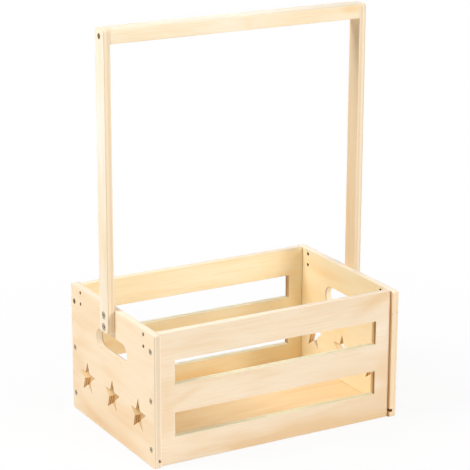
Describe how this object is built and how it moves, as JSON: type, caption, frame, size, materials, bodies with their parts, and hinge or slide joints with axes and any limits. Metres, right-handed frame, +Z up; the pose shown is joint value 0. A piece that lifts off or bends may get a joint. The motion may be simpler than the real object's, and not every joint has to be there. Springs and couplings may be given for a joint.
{
  "type": "wooden storage crate",
  "caption": "Open plywood crate with slotted long walls, end panels with a hand-hold and star cut-outs, a grooved-in base, and a tall fixed carrying handle screwed to the ends.",
  "frame": {"origin": "on the floor under the middle of the crate", "axes": "+Z up along the handle, X along the crate's length, Y across its depth with the front towards -Y"},
  "size_m": [0.3164, 0.2, 0.448],
  "materials": {
    "birch_ply": "sanded bare birch plywood, fine straight grain, darker glue lines on the cut edges",
    "thin_ply": "thin unfinished plywood sheet",
    "pale_batten": "planed pale wood with eased edges and long straight grain",
    "zinc_steel": "zinc-plated countersunk wood screws, dull and slightly warm"
  },
  "bodies": {
    "root": {"left_end_panel": "birch_ply", "right_end_panel": "birch_ply", "front_wall": "birch_ply", "back_wall": "birch_ply", "base_panel": "thin_ply", "left_upright": "pale_batten", "right_upright": "pale_batten", "crossbar": "pale_batten", "left_front_screw_1": "zinc_steel", "left_front_screw_2": "zinc_steel", "left_front_screw_3": "zinc_steel", "left_back_screw_1": "zinc_steel", "left_back_screw_2": "zinc_steel", "left_back_screw_3": "zinc_steel", "right_front_screw_1": "zinc_steel", "right_front_screw_2": "zinc_steel", "right_front_screw_3": "zinc_steel", "right_back_screw_1": "zinc_steel", "right_back_screw_2": "zinc_steel", "right_back_screw_3": "zinc_steel", "left_upright_screw_1": "zinc_steel", "left_upright_screw_2": "zinc_steel", "right_upright_screw_1": "zinc_steel", "right_upright_screw_2": "zinc_steel", "left_crossbar_screw": "zinc_steel", "right_crossbar_screw": "zinc_steel"}
  },
  "joints": []
}
